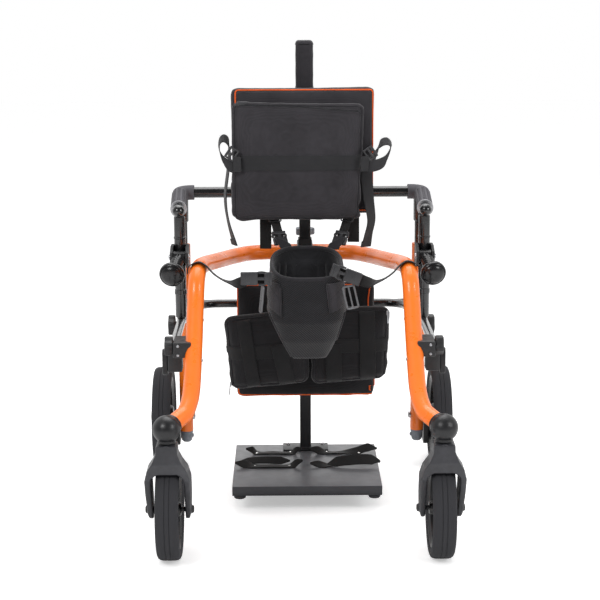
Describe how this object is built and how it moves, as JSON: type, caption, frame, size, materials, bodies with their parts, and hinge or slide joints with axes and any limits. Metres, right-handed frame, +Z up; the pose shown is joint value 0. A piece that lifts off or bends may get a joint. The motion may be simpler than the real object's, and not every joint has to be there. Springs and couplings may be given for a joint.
{
  "type": "pediatric standing frame",
  "caption": "Wheeled standing frame for a child: orange horseshoe tube, mast with padded chest and knee supports, pelvic harness, footplate and handle frame.",
  "frame": {"origin": "on the floor under the middle of the whole frame, wheels included", "axes": "+Z up, -Y the open front where the small wheels are, +X to the left of a child who faces the front"},
  "size_m": [0.704, 0.855, 0.987],
  "materials": {
    "black_gloss": "gloss black paint",
    "black_plastic": "moulded black, satin",
    "charcoal_fabric": "woven charcoal cloth over foam",
    "grey_plastic": "moulded dark grey, satin",
    "grip_rubber": "textured dark grey grip",
    "mesh_fabric": "black spacer mesh and padding",
    "orange_paint": "gloss orange powder coat",
    "plate_paint": "satin dark grey paint",
    "plug_grey": "moulded mid grey, satin",
    "rim_plastic": "moulded black, half gloss",
    "steel": "plated steel",
    "tyre_rubber": "dark rubber tread",
    "webbing": "woven black webbing and buckles"
  },
  "bodies": {
    "frame": {"main_frame_tube": "orange_paint", "side_rail": "black_gloss", "mast_clamp": "black_plastic", "left_front_ball": "black_gloss", "left_rear_leg": "orange_paint", "left_front_clamp": "black_plastic", "left_rear_axle": "steel", "left_leg_plug": "plug_grey", "right_front_ball": "black_gloss", "right_rear_leg": "orange_paint", "right_front_clamp": "black_plastic", "right_rear_axle": "steel", "right_leg_plug": "plug_grey"},
    "handle": {"handle_bar": "black_gloss", "left_arm_sleeve": "grip_rubber", "left_handle_post": "black_gloss", "left_grip_clevis": "black_plastic", "right_arm_sleeve": "grip_rubber", "right_handle_post": "black_gloss", "right_grip_clevis": "black_plastic"},
    "mast": {"mast_tube": "black_gloss", "mast_head_cover": "charcoal_fabric", "footplate": "plate_paint", "pelvic_harness": "mesh_fabric", "left_foot_strap": "webbing", "left_side_strap": "webbing", "left_shoulder_strap": "webbing", "right_foot_strap": "webbing", "right_side_strap": "webbing", "right_shoulder_strap": "webbing"},
    "chest_pads": {"chest_back_pad": "charcoal_fabric", "chest_front_pad": "charcoal_fabric", "chest_carriage": "black_plastic", "left_chest_strap": "webbing", "right_chest_strap": "webbing"},
    "lower_pads": {"lower_back_pad": "charcoal_fabric", "left_knee_pad": "charcoal_fabric", "right_knee_pad": "charcoal_fabric", "lower_carriage": "black_plastic"},
    "mast_lock": {"mast_knob": "black_plastic"},
    "left_caster": {"left_caster_fork": "grey_plastic"},
    "left_caster_wheel": {"left_caster_tyre": "tyre_rubber", "left_caster_rim": "rim_plastic"},
    "left_rear_wheel": {"left_rear_tyre": "tyre_rubber", "left_rear_rim": "rim_plastic"},
    "left_brake": {"left_brake_lever": "black_plastic"},
    "left_grip": {"left_hand_grip": "black_gloss"},
    "left_front_lock": {"left_front_knob": "black_plastic"},
    "left_rear_lock": {"left_rear_knob": "black_plastic"},
    "left_clamp": {"left_clamp_lever": "black_plastic"},
    "right_caster": {"right_caster_fork": "grey_plastic"},
    "right_caster_wheel": {"right_caster_tyre": "tyre_rubber", "right_caster_rim": "rim_plastic"},
    "right_rear_wheel": {"right_rear_tyre": "tyre_rubber", "right_rear_rim": "rim_plastic"},
    "right_brake": {"right_brake_lever": "black_plastic"},
    "right_grip": {"right_hand_grip": "black_gloss"},
    "right_front_lock": {"right_front_knob": "black_plastic"},
    "right_rear_lock": {"right_rear_knob": "black_plastic"},
    "right_clamp": {"right_clamp_lever": "black_plastic"}
  },
  "joints": [
    {"name": "handle_lift", "type": "slide", "parent": "frame", "child": "handle", "axis": [0, 0, 1], "range_m": [0, 0.1]},
    {"name": "mast_lift", "type": "slide", "parent": "frame", "child": "mast", "axis": [0, 0, 1], "range_m": [-0.02, 0.01], "deforming": ["left_side_strap", "right_side_strap"]},
    {"name": "chest_pads_slide", "type": "slide", "parent": "mast", "child": "chest_pads", "axis": [0, 0, 1], "range_m": [-0.025, 0.06], "deforming": ["left_shoulder_strap", "right_shoulder_strap"]},
    {"name": "lower_pads_slide", "type": "slide", "parent": "mast", "child": "lower_pads", "axis": [0, 0, 1], "range_m": [-0.06, 0.012]},
    {"name": "mast_knob_turn", "type": "hinge", "parent": "frame", "child": "mast_lock", "pos_m": [0.0075, 0.2625, 0.5588], "axis": [0, 0, 1], "range_deg": [0, 360]},
    {"name": "left_swivel", "type": "hinge", "parent": "frame", "child": "left_caster", "pos_m": [0.2655, -0.3735, 0.2745], "axis": [0, 0, 1], "continuous": true},
    {"name": "left_caster_spin", "type": "hinge", "parent": "left_caster", "child": "left_caster_wheel", "pos_m": [0.2655, -0.3285, 0.1], "axis": [1, 0, 0], "continuous": true},
    {"name": "left_rear_spin", "type": "hinge", "parent": "frame", "child": "left_rear_wheel", "pos_m": [0.322, 0.3115, 0.115], "axis": [1, 0, 0], "continuous": true},
    {"name": "left_brake_press", "type": "hinge", "parent": "frame", "child": "left_brake", "pos_m": [0.2923, 0.3115, 0.115], "axis": [1, 0, 0], "range_deg": [-15, 0]},
    {"name": "left_grip_tilt", "type": "hinge", "parent": "handle", "child": "left_grip", "pos_m": [0.264, 0.066, 0.5335], "axis": [1, 0, 0], "range_deg": [-60, 30]},
    {"name": "left_front_knob_turn", "type": "hinge", "parent": "frame", "child": "left_front_lock", "pos_m": [0.269, -0.222, 0.403], "axis": [1, 0, 0], "range_deg": [0, 360]},
    {"name": "left_rear_knob_turn", "type": "hinge", "parent": "frame", "child": "left_rear_lock", "pos_m": [0.3, 0.3115, 0.332], "axis": [1, 0, 0], "range_deg": [0, 360]},
    {"name": "left_clamp_lever_turn", "type": "hinge", "parent": "frame", "child": "left_clamp", "pos_m": [0.2745, -0.178, 0.362], "axis": [1, 0, 0], "range_deg": [0, 90]},
    {"name": "right_swivel", "type": "hinge", "parent": "frame", "child": "right_caster", "pos_m": [-0.2655, -0.3735, 0.2745], "axis": [0, 0, 1], "continuous": true},
    {"name": "right_caster_spin", "type": "hinge", "parent": "right_caster", "child": "right_caster_wheel", "pos_m": [-0.2655, -0.3285, 0.1], "axis": [1, 0, 0], "continuous": true},
    {"name": "right_rear_spin", "type": "hinge", "parent": "frame", "child": "right_rear_wheel", "pos_m": [-0.322, 0.3115, 0.115], "axis": [1, 0, 0], "continuous": true},
    {"name": "right_brake_press", "type": "hinge", "parent": "frame", "child": "right_brake", "pos_m": [-0.2923, 0.3115, 0.115], "axis": [1, 0, 0], "range_deg": [-15, 0]},
    {"name": "right_grip_tilt", "type": "hinge", "parent": "handle", "child": "right_grip", "pos_m": [-0.264, 0.066, 0.5335], "axis": [1, 0, 0], "range_deg": [-60, 30]},
    {"name": "right_front_knob_turn", "type": "hinge", "parent": "frame", "child": "right_front_lock", "pos_m": [-0.269, -0.222, 0.403], "axis": [1, 0, 0], "range_deg": [0, 360]},
    {"name": "right_rear_knob_turn", "type": "hinge", "parent": "frame", "child": "right_rear_lock", "pos_m": [-0.3, 0.3115, 0.332], "axis": [1, 0, 0], "range_deg": [0, 360]},
    {"name": "right_clamp_lever_turn", "type": "hinge", "parent": "frame", "child": "right_clamp", "pos_m": [-0.2745, -0.178, 0.362], "axis": [1, 0, 0], "range_deg": [0, 90]}
  ]
}
